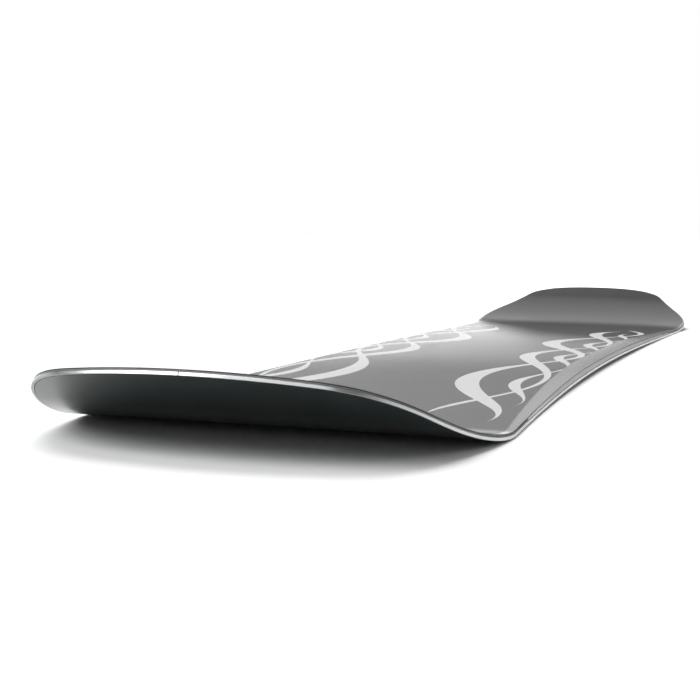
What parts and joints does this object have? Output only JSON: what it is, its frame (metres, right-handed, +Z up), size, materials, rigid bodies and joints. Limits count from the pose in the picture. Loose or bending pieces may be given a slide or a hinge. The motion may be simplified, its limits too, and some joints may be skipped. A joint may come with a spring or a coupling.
{
  "type": "snowboard",
  "caption": "Snowboard with a broad raised nose, a blunt raised tail, sidecut, steel edges, wood core and threaded inserts.",
  "frame": {"origin": "middle of the board's length and width, at the height of the surface that it rests on", "axes": "+X towards the nose, +Y towards the left rail, +Z up"},
  "size_m": [1.54, 0.3048, 0.0541],
  "materials": {
    "base_black": "glossy black running base",
    "edge_steel": "ground steel edge",
    "glass_laminate": "glass fibre laminate",
    "sidewall_grey": "grey plastic sidewall",
    "spacer_black": "black tip filler",
    "topsheet_grey": "glossy grey topsheet",
    "poplar": "planed light wood",
    "beech": "planed hard wood",
    "insert_steel": "turned stainless steel",
    "cap_black": "black plastic cap"
  },
  "bodies": {
    "root": {"base_sheet": "base_black", "steel_edge_left": "edge_steel", "steel_edge_right": "edge_steel", "lower_laminate": "glass_laminate", "sidewall_left": "sidewall_grey", "sidewall_right": "sidewall_grey", "nose_spacer": "spacer_black", "tail_spacer": "spacer_black", "core_centre": "poplar", "core_stringer_left": "beech", "core_stringer_right": "beech", "core_strip_left_1": "poplar", "core_strip_left_2": "poplar", "core_strip_left_3": "poplar", "core_strip_left_4": "poplar", "core_strip_right_1": "poplar", "core_strip_right_2": "poplar", "core_strip_right_3": "poplar", "core_strip_right_4": "poplar", "upper_laminate": "glass_laminate", "topsheet": "topsheet_grey", "insert_front_1": "insert_steel", "insert_front_2": "insert_steel", "insert_front_3": "insert_steel", "insert_front_4": "insert_steel", "insert_front_5": "insert_steel", "insert_front_6": "insert_steel", "insert_front_7": "insert_steel", "insert_front_8": "insert_steel", "insert_rear_1": "insert_steel", "insert_rear_2": "insert_steel", "insert_rear_3": "insert_steel", "insert_rear_4": "insert_steel", "insert_rear_5": "insert_steel", "insert_rear_6": "insert_steel", "insert_rear_7": "insert_steel", "insert_rear_8": "insert_steel", "insert_cap_front_1": "cap_black", "insert_cap_front_2": "cap_black", "insert_cap_front_3": "cap_black", "insert_cap_front_4": "cap_black", "insert_cap_front_5": "cap_black", "insert_cap_front_6": "cap_black", "insert_cap_front_7": "cap_black", "insert_cap_front_8": "cap_black", "insert_cap_rear_1": "cap_black", "insert_cap_rear_2": "cap_black", "insert_cap_rear_3": "cap_black", "insert_cap_rear_4": "cap_black", "insert_cap_rear_5": "cap_black", "insert_cap_rear_6": "cap_black", "insert_cap_rear_7": "cap_black", "insert_cap_rear_8": "cap_black"}
  },
  "joints": []
}
